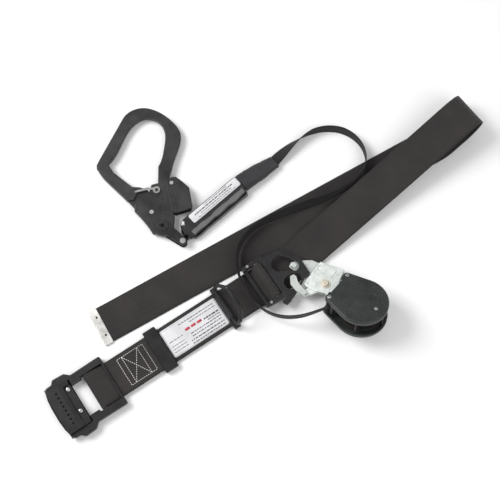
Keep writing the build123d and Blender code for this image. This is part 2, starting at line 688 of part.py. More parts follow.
def safety_lever():
    """Squeeze lever on the back of the hook's spine, a bent cover over both faces."""
    low = HOOK_MIDDLE_Z - HOOK_PLATE_THICK / 2 - 0.3
    high = low + HOOK_PLATE_THICK + 0.6
    outline = [(66.0, -21.0), (63.0, -13.0), (54.0, -12.5), (40.0, -13.0), (19.0, -14.5), (15.0, -19.0),
               (18.5, -40.5), (26.0, -42.5), (48.0, -42.0), (58.0, -34.0), (66.0, -26.5)]
    cheek_top = plate(outline, high, high + 1.6, corner=2.0, edge=0.5)
    cheek_low = plate(outline, low - 1.6, low, corner=2.0)
    back = plate([(22.0, -37.6), (24.0, -42.0), (48.0, -41.5), (57.0, -34.0), (55.0, -31.0), (46.5, -37.6)],
                 low - 0.4, high + 0.4, corner=1.0)
    lever = cheek_top + cheek_low + back
    return HOOK * (lever - disc(*LEVER_PIVOT, LEVER_RIVET_R + RUNNING_CLEARANCE, -5, 30))


def lever_rivet():
    low = HOOK_MIDDLE_Z - HOOK_PLATE_THICK / 2 - 2.1
    return HOOK * riveted_pin(*LEVER_PIVOT, LEVER_RIVET_R, low, low + HOOK_PLATE_THICK + 4.2, 2.6)


def lock_link():
    """Bright link on the hook's face that holds the gate until the safety lever is squeezed."""
    top = HOOK_MIDDLE_Z + HOOK_PLATE_THICK / 2
    link = disc(*LINK_PIVOT, 4.8, top + 0.3, top + 1.9)
    link += hull_plate([(53.3, 3.0, 1.5), (55.0, 14.0, 1.7)], top + 0.9, top + 1.9)
    link += hull_plate([(55.0, 14.0, 1.7), (53.2, 29.5, 1.3)], top + 0.9, top + 1.9)
    return HOOK * (link - disc(*LINK_PIVOT, LINK_PIN_R + RUNNING_CLEARANCE, -5, 30))


def link_pin():
    top = HOOK_MIDDLE_Z + HOOK_PLATE_THICK / 2
    return HOOK * (disc(*LINK_PIVOT, LINK_PIN_R, top, top + 2.1) + disc(*LINK_PIVOT, 2.1, top + 2.1,
                                                                        top + 2.7))


# ---- shackle and absorber -----------------------------------------------------------------------
def shackle():
    span = math.dist(EYE, pin_spot())
    low = HOOK_MIDDLE_Z - HOOK_PLATE_THICK / 2 - 0.4
    high = HOOK_MIDDLE_Z + HOOK_PLATE_THICK / 2 + 0.4
    ends = [(0, 0, 5.5), (span, 0, 8.6)]
    cheeks = soften(hull_plate(ends, high, high + 2.0), 0.6) + hull_plate(ends, low - 2.0, low)
    web = block(12.2, 16.2, -4.5, 4.5, low - 1.0, high + 1.0)
    bored = cheeks + web - disc(0, 0, SHACKLE_PIN_R, -5, 30) - disc(span, 0, EYE_BOLT_R, -5, 30)
    return SHACKLE * bored


def eye_bolt():
    span = math.dist(EYE, pin_spot())
    low = HOOK_MIDDLE_Z - HOOK_PLATE_THICK / 2 - 2.4
    high = HOOK_MIDDLE_Z + HOOK_PLATE_THICK / 2 + 2.4
    bolt = disc(span, 0, EYE_BOLT_R, low, high) + tube(span, 0, 7.0, 4.0, high, high + 1.2)
    return SHACKLE * (bolt - disc(span, 0, 2.6, high - 3.0, high + 2.0))


def shackle_pin():
    low = HOOK_MIDDLE_Z - HOOK_PLATE_THICK / 2 - 2.4
    high = HOOK_MIDDLE_Z + HOOK_PLATE_THICK / 2 + 2.4
    return SHACKLE * (disc(0, 0, SHACKLE_PIN_R, low, high) + disc(0, 0, 3.8, high, high + 1.0))


def absorber_loop():
    x, y = SHACKLE_PIN
    z0, z1 = HOOK_MIDDLE_Z - 3.9, HOOK_MIDDLE_Z + 3.9
    loop = hull_plate([(x, y, 4.4), (-4.0, -3.0, 4.6)], z0, z1) + block(-6.0, 1.0, -8.5, 3.0, z0, z1)
    return ABSORBER * (loop - disc(x, y, SHACKLE_PIN_R + RUNNING_CLEARANCE, -5, 30))


def section_bar(section, x0, x1):
    face = make_face(Polyline(*[(0, y, z) for y, z in section], close=True))
    return Pos(x0, 0, 0) * extrude(face, x1 - x0, dir=(1, 0, 0))


def absorber_cover():
    outer = section_bar(COVER_SECTION, 1.0, ABSORBER_LENGTH)
    outer = fillet(outer.edges().filter_by(Axis.X), 1.8)
    return ABSORBER * (outer - block(0.0, ABSORBER_LENGTH + 1, -9.0, 14.0, 1.8, 12.2))


def absorber_pack():
    """Tear webbing folded flat inside the film cover."""
    return ABSORBER * block(1.0, ABSORBER_LENGTH, -9.0, 14.0, 1.8, 12.2)


def absorber_label():
    label = block(14.0, 97.0, 0.5, 13.8, 17.25, 17.6)
    return ABSORBER * fillet(label.edges().filter_by(Axis.Z), 3.0)


def absorber_sleeve():
    near = Plane(origin=(98.2, 3.5, 7.6), x_dir=(0, 1, 0),
                 z_dir=(1, 0, 0)) * RectangleRounded(25.0, 14.4, 5.0)
    middle = Plane(origin=(128.0, 0.5, 6.5), x_dir=(0, 1, 0),
                   z_dir=(1, 0, 0)) * RectangleRounded(24.0, 12.0, 4.5)
    far = Plane(origin=(154.0, -3.2, 5.6), x_dir=(0, 1, 0),
                z_dir=(1, 0, 0)) * RectangleRounded(20.0, 9.0, 4.0)
    return ABSORBER * loft([near, middle, far])


# ---- lanyard ------------------------------------------------------------------------------------
def lanyard_webbing():
    points = [spot(*p) for p in LANYARD_ROUTE]
    radii = []
    for before, here, after in zip(points, points[1:], points[2:]):
        turn = (here - before).get_angle(after - here)
        run = min((here - before).length, (after - here).length)
        radii.append(0.45 * run / math.tan(math.radians(turn) / 2))
    print("lanyard radii", [round(r) for r in radii])
    path = FilletPolyline(*points, radius=radii)
    section = Plane(origin=path @ 0, z_dir=path % 0) * Circle(LANYARD_TUBE_R)
    cord = sweep(section, path=path)
    print("lanyard length", round(path.length, 1), "volume ratio",
          round(cord.volume / (path.length * math.pi * LANYARD_TUBE_R ** 2), 4))
    return cord


# ---- output -------------------------------------------------------------------------------------
def parts():
    return {
        "belt_strip": belt_strip(), "belt_rise": belt_rise(), "belt_tail": belt_tail(),
        "tail_tip": tail_tip(), "tail_rivets": tail_rivets(),
        "belt_label": belt_label(), "belt_keeper": belt_keeper(),
        "buckle_frame": buckle_frame(), "buckle_bar": buckle_bar(), "buckle_lever": buckle_lever(),
        "lever_pin": lever_pin(), "lever_rivets": lever_rivets(), "pinch_bar": pinch_bar(),
        "lever_spring": lever_spring(),
        "dring_plate": dring_plate(), "d_ring": d_ring(),
        "ring_frame": ring_frame(), "ring_bar": ring_bar(), "ring_rivets": ring_rivets(),
        "reel_top_cover": reel_top_cover(), "reel_bottom_cover": reel_bottom_cover(),
        "ear_rivets": ear_rivets(), "spacer_posts": spacer_posts(), "cover_screw": cover_screw(),
        "reel_shaft": reel_shaft(), "spool": spool(), "spool_bush": spool_bush(),
        "wound_webbing": wound_webbing(), "webbing_lead": webbing_lead(),
        "power_spring": power_spring(), "spring_cup": spring_cup(), "ratchet_ring": ratchet_ring(),
        "pawl_a": pawl(0), "pawl_b": pawl(180), "pawl_pins": pawl_pins(), "pawl_springs": pawl_springs(),
        "roller_a": roller(*EARS[1], 3.3, POST_R), "roller_b": roller(*ROLLER_B, 2.9, ROLLER_PIN_R),
        "roller_pin": roller_pin(),
        "connector_body": connector_body() + jaw(), "connector_rivet": connector_rivet(),
        "snap_gate": snap_gate(), "gate_spring": gate_spring(),
        "hook_body": hook_body(), "hook_gate": hook_gate(), "gate_pin": gate_pin(),
        "safety_lever": safety_lever(), "lever_rivet": lever_rivet(), "lock_link": lock_link(),
        "link_pin": link_pin(),
        "shackle": shackle(), "eye_bolt": eye_bolt(), "shackle_pin": shackle_pin(),
        "absorber_loop": absorber_loop(), "absorber_cover": absorber_cover(),
        "absorber_pack": absorber_pack(),
        "absorber_label": absorber_label(), "absorber_sleeve": absorber_sleeve(),
        "lanyard_webbing": lanyard_webbing(),
    }


def main():
    os.makedirs("parts", exist_ok=True)
    for name, shape in parts().items():
        solid = Compound(children=shape) if isinstance(shape, list) else shape
        export_step(solid, f"parts/{name}.step")


main()
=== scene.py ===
import json
import math
import bmesh
import bpy
import numpy as np
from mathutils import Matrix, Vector, noise


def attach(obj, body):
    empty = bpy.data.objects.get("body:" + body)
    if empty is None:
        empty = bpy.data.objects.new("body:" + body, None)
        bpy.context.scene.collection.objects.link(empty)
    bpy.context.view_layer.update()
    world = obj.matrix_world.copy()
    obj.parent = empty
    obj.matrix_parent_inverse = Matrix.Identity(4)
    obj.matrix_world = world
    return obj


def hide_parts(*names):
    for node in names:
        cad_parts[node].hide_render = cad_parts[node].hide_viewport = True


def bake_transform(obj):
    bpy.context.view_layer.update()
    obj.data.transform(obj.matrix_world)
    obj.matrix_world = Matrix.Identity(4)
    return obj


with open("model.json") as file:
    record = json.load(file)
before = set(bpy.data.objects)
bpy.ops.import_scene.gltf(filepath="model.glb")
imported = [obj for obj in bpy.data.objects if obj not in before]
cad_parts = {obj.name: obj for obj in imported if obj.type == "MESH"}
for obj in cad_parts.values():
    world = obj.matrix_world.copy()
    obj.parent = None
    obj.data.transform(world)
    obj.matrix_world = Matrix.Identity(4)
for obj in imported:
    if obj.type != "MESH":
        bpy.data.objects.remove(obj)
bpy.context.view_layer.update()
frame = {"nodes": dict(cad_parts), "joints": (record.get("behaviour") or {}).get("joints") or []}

MM = 0.001
BELT_WIDTH = 0.05
BELT_THICK = 0.0019
LANYARD_WIDTH = 0.015
LANYARD_THICK = 0.0012
SELVEDGE = 0.0022          # plain woven edge of every strap
CURVE_STEPS = 24           # fine points between two given ones, before even spacing
THREAD_SIDES = 8
THREAD_RINGS = [(-1.0, 0.35), (-0.72, 0.9), (0.0, 1.1), (0.72, 0.9), (1.0, 0.35)]  # (along, radius)
THREAD_FLAT = 0.7          # height of a thread against its width
THREAD_RISE = 0.55         # how far its middle stands up, in radii
WEAR_AND_HIGHLIGHT_RADIUS = 0.0007
JOINTS = {j["name"]: j for j in frame["joints"]}


# ---- places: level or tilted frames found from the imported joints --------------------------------
class Place:
    """A frame in which points are given in millimetres."""

    def __init__(self, origin, x_axis, z_axis=(0, 0, 1)):
        self.origin = Vector(origin)
        self.z = Vector(z_axis).normalized()
        self.x = Vector(x_axis).normalized()
        self.y = self.z.cross(self.x)

    def __call__(self, x, y, z=0.0):
        return self.origin + (self.x * x + self.y * y + self.z * z) * MM

    def turned(self, v):
        return self.x * v[0] + self.y * v[1] + self.z * v[2]


def level_place(joint, at, turn):
    """The level frame turned by that many degrees whose point at (x, y) is where the joint is."""
    a = math.radians(turn)
    x_axis = Vector((math.cos(a), math.sin(a), 0))
    y_axis = Vector((-math.sin(a), math.cos(a), 0))
    pos = Vector(JOINTS[joint]["pos_m"])
    origin = pos - (x_axis * at[0] + y_axis * at[1]) * MM
    return Place((origin.x, origin.y, 0), x_axis)


# places in the layout, in millimetres, and their turns, in degrees
DRING_AXLE = (89.0, 0.0)
SHACKLE_PIN = (-12.7, -6.3)
STRIP_START = (-106.4, -128.8)
RISE_START = (57.0, -17.0)
TAIL_START = (-198.3, -107.0)
RISE_TURN = 40.6
TAIL_TURN = 29.8
ABSORBER_TURN = 41.9
REEL_ARM_TURN = 141
REEL_JOINT_Z = 2


def spot(x, y, z=0.0):
    return LAYOUT + Vector((x, y, z)) * MM


def turn_axis(degrees):
    return Vector((math.cos(math.radians(degrees)), math.sin(math.radians(degrees)), 0))


keeper_axis = JOINTS["keeper_slide"]["axis"]
STRIP_TURN = math.degrees(math.atan2(keeper_axis[1], keeper_axis[0]))
STRIP = level_place("dring_fold", DRING_AXLE, STRIP_TURN)
LAYOUT = STRIP.origin - Vector((*STRIP_START, 0)) * MM
ABSORBER = level_place("shackle_turn", SHACKLE_PIN, ABSORBER_TURN)
RISE = Place(spot(*RISE_START), turn_axis(RISE_TURN))
TAIL = Place(spot(*TAIL_START), turn_axis(TAIL_TURN))
reel_axis = Vector(JOINTS["spool_spin"]["axis"])
reel_up = reel_axis.cross(Vector((1, 0, 0)))
arm_turn = math.radians(REEL_ARM_TURN)
reel_arm = Vector((1, 0, 0)) * math.cos(arm_turn) + reel_up * math.sin(arm_turn)
REEL = Place(Vector(JOINTS["spool_spin"]["pos_m"]) - reel_axis * REEL_JOINT_Z * MM, reel_arm, reel_axis)

# ---- camera -------------------------------------------------------------------------------------
CAMERA_ELEVATION = 74.0
CAMERA_DISTANCE = 1.25
CAMERA_LENS = 67.9
CAMERA_SENSOR = 36.0
camera_data = bpy.data.cameras.new("camera")
camera_data.lens = CAMERA_LENS
camera_data.sensor_width = CAMERA_SENSOR
camera_data.clip_start = 0.01
camera = bpy.data.objects.new("camera", camera_data)
bpy.context.scene.collection.objects.link(camera)
up = math.radians(CAMERA_ELEVATION)
back = Vector((0, -math.cos(up), math.sin(up)))
camera.location = spot(0, 0) + back * CAMERA_DISTANCE
camera.rotation_mode = "QUATERNION"
camera.rotation_quaternion = (-back).to_track_quat("-Z", "Y")
bpy.context.scene.camera = camera


# ---- mesh helpers -------------------------------------------------------------------------------
def new_object(name, verts, faces, uvs=None, smooth=True):
    mesh = bpy.data.meshes.new(name)
    mesh.from_pydata([tuple(v) for v in verts], [], faces)
    if uvs is not None:
        layer = mesh.uv_layers.new(name="uv")
        for loop in mesh.loops:
            layer.data[loop.index].uv = uvs[loop.vertex_index]
    mesh.validate()
    mesh.update()
    obj = bpy.data.objects.new(name, mesh)
    bpy.context.scene.collection.objects.link(obj)
    clean_normals(obj)
    for p in obj.data.polygons:
        p.use_smooth = smooth
    return obj


def clean_normals(obj):
    work = bmesh.new()
    work.from_mesh(obj.data)
    bmesh.ops.recalc_face_normals(work, faces=work.faces)
    work.to_mesh(obj.data)
    work.free()


def resample(points, step, extra=None):
    """Points on a smooth curve through the given ones, evenly spaced; extra is a value carried along."""
    pts = np.array([tuple(p) for p in points], float)
    n = len(pts)
    ext = np.zeros(n) if extra is None else np.array(extra, float)
    both = np.column_stack([pts, ext])
    padded = np.vstack([2 * both[0] - both[1], both, 2 * both[-1] - both[-2]])
    knots = np.concatenate([[0], np.cumsum(np.sqrt(np.linalg.norm(np.diff(padded[:, :3], axis=0), axis=1)))])
    dense = []
    for i in range(1, n):
        p0, p1, p2, p3 = padded[i - 1], padded[i], padded[i + 1], padded[i + 2]
        t0, t1, t2, t3 = knots[i - 1], knots[i], knots[i + 1], knots[i + 2]
        for t in np.linspace(t1, t2, CURVE_STEPS, endpoint=False):
            a1 = (t1 - t) / (t1 - t0) * p0 + (t - t0) / (t1 - t0) * p1
            a2 = (t2 - t) / (t2 - t1) * p1 + (t - t1) / (t2 - t1) * p2
            a3 = (t3 - t) / (t3 - t2) * p2 + (t - t2) / (t3 - t2) * p3
            b1 = (t2 - t) / (t2 - t0) * a1 + (t - t0) / (t2 - t0) * a2
            b2 = (t3 - t) / (t3 - t1) * a2 + (t - t1) / (t3 - t1) * a3
            dense.append((t2 - t) / (t2 - t1) * b1 + (t - t1) / (t2 - t1) * b2)
    dense.append(both[-1])
    return evenly(np.array(dense), step)


def evenly(dense, step):
    """The same line with its points a step apart, and how far along it each one is."""
    run = np.concatenate([[0], np.cumsum(np.linalg.norm(np.diff(dense[:, :3], axis=0), axis=1))])
    count = max(2, int(round(run[-1] / step)) + 1)
    at = np.linspace(0, run[-1], count)
    return np.column_stack([np.interp(at, run, dense[:, k]) for k in range(dense.shape[1])]), at


def ribbon_section(half, thick, columns):
    """Closed section of a webbing strap as (across, up) pairs: flat faces with rolled selvedges."""
    r = thick / 2
    xs = [(-half + r) + (2 * half - 2 * r) * i / columns for i in range(columns + 1)]
    top = [(x, r) for x in xs]
    right = [(half - r + r * math.sin(a), r * math.cos(a))
             for a in (math.pi / 4, math.pi / 2, 3 * math.pi / 4)]
    low = [(x, -r) for x in reversed(xs)]
    left = [(-x, -y) for x, y in right]
    return top + right + low + left


def sweep_ribbon(name, centre, across, along, half, thick, columns=12):
    """A closed strap mesh along centre, with its width along the across vectors. UVs are in metres."""
    section = ribbon_section(half, thick, columns)
    tangents = np.gradient(centre, axis=0)
    verts, uvs, faces = [], [], []
    for i, c in enumerate(centre):
        t = Vector(tangents[i]).normalized()
        side = Vector(across[i])
        side = (side - t * side.dot(t)).normalized()
        normal = t.cross(side) * -1
        for x, y in section:
            verts.append(Vector(c) + side * x + normal * y)
            uvs.append((along[i], x))
    n = len(section)
    for i in range(len(centre) - 1):
        for k in range(n):
            m = (k + 1) % n
            faces.append((i * n + k, (i + 1) * n + k, (i + 1) * n + m, i * n + m))
    faces.append(tuple(range(n)))
    faces.append(tuple(reversed(range((len(centre) - 1) * n, len(centre) * n))))
    return new_object(name, verts, faces, uvs)


def capsules(name, segments, radius):
    """Small rounded threads for stitching: each (a, b, n) runs from a to b on a surface with normal n."""
    verts, faces = [], []
    for a, b, n in segments:
        mid = (a + b) / 2
        d = (b - a) / 2
        side = d.normalized().cross(n)
        base = len(verts)
        for t, s in THREAD_RINGS:
            for k in range(THREAD_SIDES):
                ang = 2 * math.pi * k / THREAD_SIDES
                offset = side * math.cos(ang) + n * math.sin(ang) * THREAD_FLAT
                lift = n * (radius * THREAD_RISE * (1 - abs(t) ** 2))
                verts.append(mid + d * t + offset * radius * s + lift)
        for r in range(len(THREAD_RINGS) - 1):
            low = base + r * THREAD_SIDES
            high = low + THREAD_SIDES
            for k in range(THREAD_SIDES):
                m = (k + 1) % THREAD_SIDES
                faces.append((low + k, low + m, high + m, high + k))
        faces.append(tuple(base + k for k in reversed(range(THREAD_SIDES))))
        faces.append(tuple(high + k for k in range(THREAD_SIDES)))
    return new_object(name, verts, faces)


def stitch_line(points, pitch, share):
    """Upright stitches along a polyline, each one share of the pitch long, with a gap between."""
    out = []
    for p, q in zip(points, points[1:]):
        length = (q - p).length
        count = max(1, int(round(length / pitch)))
        for i in range(count):
            a = p.lerp(q, (i + 0.5 - share / 2) / count)
            b = p.lerp(q, (i + 0.5 + share / 2) / count)
            out.append((a, b, Vector((0, 0, 1))))
    return out


# ---- materials ----------------------------------------------------------------------------------
class Nodes:
    """A short way to write shader nodes."""

    def __init__(self, name):
        self.material = bpy.data.materials.new(name)
        self.material.use_nodes = True
        self.tree = self.material.node_tree
        self.shader = self.tree.nodes["Principled BSDF"]

    def add(self, kind, **settings):
        node = self.tree.nodes.new(kind)
        for key, value in settings.items():
            setattr(node, key, value)
        return node

    def link(self, a, b):
        self.tree.links.new(a, b)

    def math(self, operation, a, b=None, c=None, clamp=False):
        node = self.add("ShaderNodeMath", operation=operation)
        node.use_clamp = clamp
        for i, v in enumerate((a, b, c)):
            if v is None:
                continue
            if isinstance(v, (int, float)):
                node.inputs[i].default_value = v
            else:
                self.link(v, node.inputs[i])
        return node.outputs[0]

    def noise(self, coords, scale, detail=3.0, rough=0.55, distort=0.0):
        node = self.add("ShaderNodeTexNoise")
        node.inputs["Scale"].default_value = scale
        node.inputs["Detail"].default_value = detail
        node.inputs["Roughness"].default_value = rough
        node.inputs["Distortion"].default_value = distort
        self.link(coords, node.inputs["Vector"])
        return node.outputs["Fac"]

    def spread(self, value, low, high, to_low, to_high):
        node = self.add("ShaderNodeMapRange")
        node.inputs["From Min"].default_value = low
        node.inputs["From Max"].default_value = high
        node.inputs["To Min"].default_value = to_low
        node.inputs["To Max"].default_value = to_high
        self.link(value, node.inputs["Value"])
        return node.outputs["Result"]

    def mix(self, share, a, b):
        node = self.add("ShaderNodeMix", data_type="RGBA")
        self.link(share, node.inputs["Factor"])
        for socket, v in (("A", a), ("B", b)):
            target = [s for s in node.inputs if s.name == socket and s.type == "RGBA"][0]
            if isinstance(v, tuple):
                target.default_value = (*v, 1.0)
            else:
                self.link(v, target)
        return [s for s in node.outputs if s.type == "RGBA"][0]

    def bump(self, height, distance, strength=1.0, under=None):
        node = self.add("ShaderNodeBump")
        node.inputs["Distance"].default_value = distance
        node.inputs["Strength"].default_value = strength
        self.link(height, node.inputs["Height"])
        if under is not None:
            self.link(under, node.inputs["Normal"])
        return node.outputs["Normal"]

    def scaled(self, coords, factors):
        node = self.add("ShaderNodeMapping")
        node.inputs["Scale"].default_value = factors
        self.link(coords, node.inputs["Vector"])
        return node.outputs["Vector"]


def place_coords(n):
    return n.add("ShaderNodeTexCoord").outputs["Object"]


def edge_mask(n, radius):
    """High on convex edges, where the lighter wear and painted highlight go: how far a rounded normal leaves
    the true one.
    """
    bevel = n.add("ShaderNodeBevel")
    bevel.samples = 4
    bevel.inputs["Radius"].default_value = radius
    geometry = n.add("ShaderNodeNewGeometry")
    dot = n.add("ShaderNodeVectorMath")
    dot.operation = "DOT_PRODUCT"
    n.link(bevel.outputs["Normal"], dot.inputs[0])
    n.link(geometry.outputs["Normal"], dot.inputs[1])
    return n.math("SUBTRACT", 1.0, dot.outputs["Value"])


def hard_material(name, dark, light, rough, metallic=0.0, grain=1400.0, depth=0.00004, blotch=45.0,
                  stretch=(1, 1, 1), wear_and_highlight=None, wear_and_highlight_rough=0.3, coat=0.0, specular=0.5):
    """Moulded, painted or plated surface: colour drift, fine grain, edges lightened as rubbed wear and
    painted highlight.
    """
    n = Nodes(name)
    here = place_coords(n)
    blot = n.noise(here, blotch, 4.0)
    fine = n.noise(n.scaled(here, stretch), grain, 3.0, 0.6)
    colour = n.mix(n.spread(blot, 0.3, 0.7, 0.0, 1.0), dark, light)
    roughness = n.spread(n.math("ADD", n.math("MULTIPLY", blot, 0.5), n.math("MULTIPLY", fine, 0.5)),
                         0.3, 0.7, max(rough - 0.09, 0.03), min(rough + 0.1, 1.0))
    # lighter edges: partly rubbed wear, partly a painted highlight along the edges that catch the light
    if wear_and_highlight:
        mask = edge_mask(n, WEAR_AND_HIGHLIGHT_RADIUS)
        patchy = n.spread(n.noise(here, 260.0, 4.0), 0.42, 0.66, 0.0, 1.0)
        share = n.math("MULTIPLY", n.spread(mask, 0.03, 0.2, 0.0, 0.85), patchy, clamp=True)
        colour = n.mix(share, colour, wear_and_highlight)
        flat_rough = n.add("ShaderNodeMix")
        n.link(share, flat_rough.inputs["Factor"])
        n.link(roughness, flat_rough.inputs[2])
        flat_rough.inputs[3].default_value = wear_and_highlight_rough
        roughness = flat_rough.outputs[0]
    n.link(colour, n.shader.inputs["Base Color"])
    n.link(roughness, n.shader.inputs["Roughness"])
    n.shader.inputs["Metallic"].default_value = metallic
    n.shader.inputs["Specular IOR Level"].default_value = specular
    n.shader.inputs["Coat Weight"].default_value = coat
    n.link(n.bump(fine, depth), n.shader.inputs["Normal"])
    return n.material


def woven_material(name, dark, light, pitch, chevron, half, depth, rough=0.72, sheen=0.25):
    """Strap webbing on UVs in metres: herringbone threads, plain selvedges, faint fuzz and wear."""
    n = Nodes(name)
    uv = n.add("ShaderNodeUVMap").outputs["UV"]
    split = n.add("ShaderNodeSeparateXYZ")
    n.link(uv, split.inputs[0])
    u, v = split.outputs[0], split.outputs[1]
    zig = n.math("ABSOLUTE", n.math("SUBTRACT", n.math("FRACT", n.math("DIVIDE", v, chevron)), 0.5))
    lean = n.math("MULTIPLY", zig, chevron * 2 * math.pi / pitch)
    twill = n.math("SINE", n.math("ADD", n.math("MULTIPLY", u, 2 * math.pi / pitch), lean))
    ends_pitch, pick_pitch = pitch * 0.8, pitch * 0.62
    ends = n.math("SINE", n.math("MULTIPLY", v, 2 * math.pi / ends_pitch))
    pick = n.math("SINE", n.math("MULTIPLY", u, 2 * math.pi / pick_pitch))
    body = n.math("ADD", n.math("MULTIPLY", twill, 0.6), n.math("MULTIPLY", ends, 0.4))
    edge = n.math("GREATER_THAN", n.math("ABSOLUTE", v), half - SELVEDGE)
    height = n.math("ADD", n.math("MULTIPLY", body, n.math("SUBTRACT", 1.0, edge)),
                    n.math("MULTIPLY", pick, edge))
    wide = n.add("ShaderNodeCombineXYZ")
    n.link(u, wide.inputs[0])
    n.link(v, wide.inputs[1])
    drift = n.noise(wide.outputs[0], 22.0, 4.0)
    fuzz = n.noise(wide.outputs[0], 1600.0, 2.0)
    level = n.math("ADD", n.spread(height, -1.0, 1.0, 0.0, 0.6), n.spread(drift, 0.3, 0.7, -0.15, 0.4))
    level = n.math("ADD", level, n.math("MULTIPLY", n.math("SUBTRACT", fuzz, 0.5), 0.5))
    n.link(n.mix(n.math("MULTIPLY", level, 1.0, clamp=True), dark, light), n.shader.inputs["Base Color"])
    n.link(n.spread(drift, 0.3, 0.7, rough - 0.08, rough + 0.08), n.shader.inputs["Roughness"])
    n.shader.inputs["Sheen Weight"].default_value = sheen
    n.shader.inputs["Sheen Roughness"].default_value = 0.4
    n.shader.inputs["Specular IOR Level"].default_value = 0.35
    low = n.bump(height, depth)
    n.link(n.bump(fuzz, depth * 0.5, 0.6, low), n.shader.inputs["Normal"])
    return n.material


def brushed_material(name, dark, light, rough, grain=(60, 60, 2600), depth=0.00002, specular=0.5):
    return hard_material(name, dark, light, rough, metallic=1.0, grain=1.0, depth=depth, blotch=70.0,
                         stretch=grain, specular=specular)


M = {}
M["webbing"] = woven_material("webbing_cloth", (0.014, 0.012, 0.012), (0.046, 0.039, 0.038), 0.0017, 0.0075,
                              0.025, 0.00026, sheen=0.1)
M["lanyard"] = woven_material("lanyard_cloth", (0.008, 0.0075, 0.008), (0.026, 0.024, 0.025), 0.0012, 0.0036,
                              0.0075, 0.00016, sheen=0.04)
M["sleeve_fabric"] = woven_material("sleeve_cloth", (0.016, 0.016, 0.018), (0.062, 0.061, 0.065), 0.0015,
                                    0.0030, 0.2, 0.0002, sheen=0.12)
M["pack_fabric"] = woven_material("pack_cloth", (0.16, 0.15, 0.13), (0.36, 0.34, 0.30), 0.0015, 0.004,
                                  0.0075, 0.0002)
M["label"] = hard_material("label_vinyl", (0.56, 0.56, 0.58), (0.70, 0.70, 0.72), 0.42, grain=900.0,
                           depth=0.00005, blotch=60.0)
M["tip_metal"] = brushed_material("tip_aluminium", (0.50, 0.49, 0.47), (0.68, 0.67, 0.64), 0.36)
# the wear colours below paint edges lighter: partly rubbed wear, partly painted edge highlight
M["buckle_plastic"] = hard_material("buckle_moulded", (0.010, 0.010, 0.011), (0.022, 0.022, 0.023), 0.40,
                                    grain=2300.0, depth=0.00006, wear_and_highlight=(0.09, 0.088, 0.086),
                                    specular=0.22)
M["dark_steel"] = hard_material("dark_enamel", (0.012, 0.012, 0.013), (0.024, 0.024, 0.026), 0.30,
                                grain=700.0, depth=0.00003, wear_and_highlight=(0.22, 0.215, 0.21), coat=0.08,
                                specular=0.3)
M["bar_steel"] = brushed_material("bar_dark_steel", (0.12, 0.118, 0.12), (0.22, 0.215, 0.22), 0.24)
M["bright_steel"] = brushed_material("bright_steel_brushed", (0.42, 0.42, 0.41), (0.62, 0.62, 0.60), 0.26)
M["zinc"] = hard_material("zinc_plate", (0.60, 0.64, 0.62), (0.74, 0.77, 0.74), 0.32, metallic=0.55,
                          grain=420.0, depth=0.00009, blotch=150.0, wear_and_highlight=(0.88, 0.88, 0.85),
                          wear_and_highlight_rough=0.25)
M["reel_case"] = hard_material("reel_case_moulded", (0.011, 0.014, 0.013), (0.026, 0.031, 0.029), 0.44,
                               grain=1900.0, depth=0.00007, wear_and_highlight=(0.13, 0.135, 0.13), wear_and_highlight_rough=0.35)
M["spool_plastic"] = hard_material("spool_moulded", (0.010, 0.010, 0.009), (0.024, 0.022, 0.020), 0.5,
                                   specular=0.3)
M["brass"] = hard_material("bush_brass", (0.55, 0.42, 0.20), (0.78, 0.62, 0.34), 0.3, metallic=1.0)
M["spring_steel"] = brushed_material("spring_blued", (0.20, 0.21, 0.25), (0.36, 0.37, 0.42), 0.3)
M["hook_black"] = hard_material("hook_coat", (0.015, 0.0152, 0.0152), (0.035, 0.0352, 0.035), 0.36,
                                grain=900.0, depth=0.00005, wear_and_highlight=(0.16, 0.16, 0.16), specular=0.3)
M["film"] = hard_material("film_black", (0.004, 0.004, 0.005), (0.011, 0.011, 0.013), 0.12, grain=260.0,
                          depth=0.00018, blotch=90.0, coat=0.8)
M["thread"] = hard_material("thread_white", (0.46, 0.44, 0.42), (0.74, 0.72, 0.69), 0.75, grain=4200.0,
                            depth=0.00006)
M["rivet_cream"] = hard_material("rivet_cream", (0.46, 0.42, 0.33), (0.66, 0.61, 0.50), 0.32, metallic=0.4,
                                 grain=600.0, wear_and_highlight=(0.85, 0.82, 0.74))
M["ink_dark"] = hard_material("ink_dark", (0.05, 0.05, 0.055), (0.13, 0.13, 0.14), 0.5)
M["ink_red"] = hard_material("ink_red", (0.45, 0.03, 0.05), (0.62, 0.06, 0.09), 0.45)


def paint(obj, name):
    obj.data.materials.clear()
    obj.data.materials.append(M[name])
    return obj


CAD_SLOTS = {
    "tip_metal": ["tail_tip"],
    "bright_steel": ["lever_rivets", "ring_rivets", "ear_rivets", "cover_screw", "shackle_pin",
                     "gate_pin", "lever_rivet", "lock_link"],
    "buckle_plastic": ["belt_keeper", "buckle_frame", "buckle_lever"],
    "bar_steel": ["buckle_bar", "lever_pin", "pinch_bar", "ring_bar", "reel_shaft", "pawl_pins",
                  "roller_pin"],
    "dark_steel": ["tail_rivets", "dring_plate", "d_ring", "ring_frame", "shackle", "eye_bolt"],
    "zinc": ["connector_body", "snap_gate"],
    "reel_case": ["reel_top_cover", "reel_bottom_cover"],
    "spool_plastic": ["spool", "spring_cup", "roller_a", "roller_b", "spacer_posts"],
    "brass": ["spool_bush"],
    "rivet_cream": ["connector_rivet"],
    "spring_steel": ["lever_spring", "power_spring", "ratchet_ring", "pawl_a", "pawl_b", "pawl_springs",
                     "gate_spring"],
    "hook_black": ["hook_body", "hook_gate", "safety_lever", "link_pin"],
}
for slot_name, names in CAD_SLOTS.items():
    for node_name in names:
        obj = frame["nodes"][node_name]
        obj.data = obj.data if obj.data.users == 1 else obj.data.copy()
        paint(obj, slot_name)

